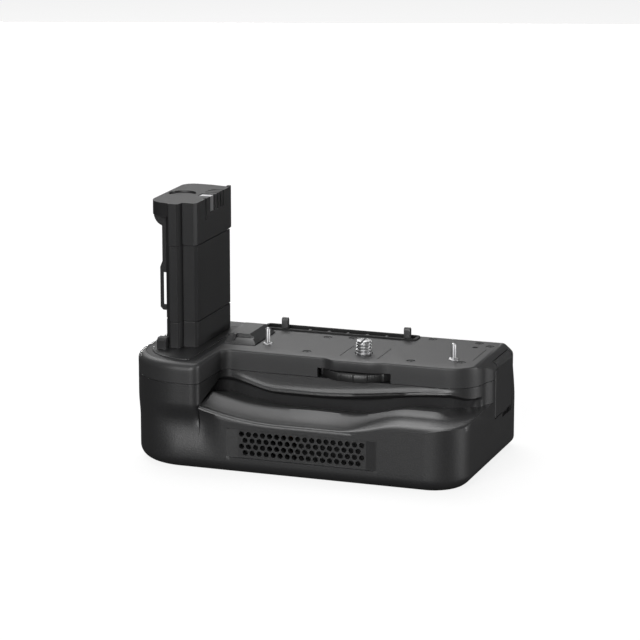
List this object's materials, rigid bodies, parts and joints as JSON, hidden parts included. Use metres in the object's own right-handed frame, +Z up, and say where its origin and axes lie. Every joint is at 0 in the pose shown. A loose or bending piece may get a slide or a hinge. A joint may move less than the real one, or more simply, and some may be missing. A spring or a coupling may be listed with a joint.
{
  "type": "camera battery grip",
  "caption": "Camera battery grip with a contoured handgrip, a wavy finger groove, a perforated vent with a blower behind it, a battery-shaped column, a camera screw and a battery tray.",
  "frame": {"origin": "on the camera screw's axis, at the deck's top face", "axes": "+Z up along the camera screw into the camera, +X to the right seen from the front, +Y to the back"},
  "size_m": [0.14, 0.0821, 0.1026],
  "materials": {
    "shell": "fine moulded grain",
    "deck": "fine moulded grain",
    "black": "satin",
    "wheel": "serrated",
    "steel": "turned",
    "screw_black": "blackened",
    "brass": "plain",
    "board": "lacquered",
    "chip": "plain",
    "copper": "wound wire",
    "lead": "film"
  },
  "bodies": {
    "body": {"lower_shell": "shell", "vent_grille": "shell", "door_block": "shell", "intake_posts": "shell", "top_cover": "deck", "column_platform": "black", "column_foot": "black", "column_sleeve": "black", "column_head": "black", "intake_frame": "black", "intake_mouth": "black", "intake_duct": "black", "blower_housing": "black", "blower_lid": "black", "outlet_duct": "black", "bay_frame": "black", "guide_pins": "steel", "chassis_plate": "steel", "wheel_bracket": "steel", "bracket_screws": "steel", "board_screws": "steel", "network_port": "steel", "port_hinge_pin": "steel", "column_contacts": "steel", "deck_screws": "screw_black", "base_screws": "screw_black", "screw_bush": "brass", "tripod_socket": "brass", "fan_bearing": "brass", "port_contacts": "brass", "battery_terminals": "brass", "main_board": "board", "board_chips": "chip", "fan_stator": "copper", "column_flex": "lead"},
    "lock": {"lock_screw": "steel", "lock_wheel": "wheel", "retaining_ring": "steel"},
    "fan": {"impeller": "black", "fan_shaft": "steel"},
    "cover": {"port_cover": "shell"},
    "tray": {"battery_tray": "black", "tray_face": "shell"},
    "latch": {"latch_knob": "black", "latch_cam": "steel"}
  },
  "joints": [
    {"name": "lock_turn", "type": "hinge", "parent": "body", "child": "lock", "pos_m": [0, 0, 0], "axis": [0, 0, 1], "continuous": true},
    {"name": "fan_spin", "type": "hinge", "parent": "body", "child": "fan", "pos_m": [-0.041, 0.007, -0.03], "axis": [0, 0, 1], "continuous": true},
    {"name": "cover_swing", "type": "hinge", "parent": "body", "child": "cover", "pos_m": [0.0509, 0.0097, -0.012], "axis": [0, 0, -1], "range_deg": [0, 90]},
    {"name": "tray_slide", "type": "slide", "parent": "body", "child": "tray", "axis": [0, 1, 0], "range_m": [0, 0.042]},
    {"name": "latch_turn", "type": "hinge", "parent": "tray", "child": "latch", "pos_m": [-0.00225, 0.038, -0.031], "axis": [0, -1, 0], "range_deg": [0, 90]}
  ]
}
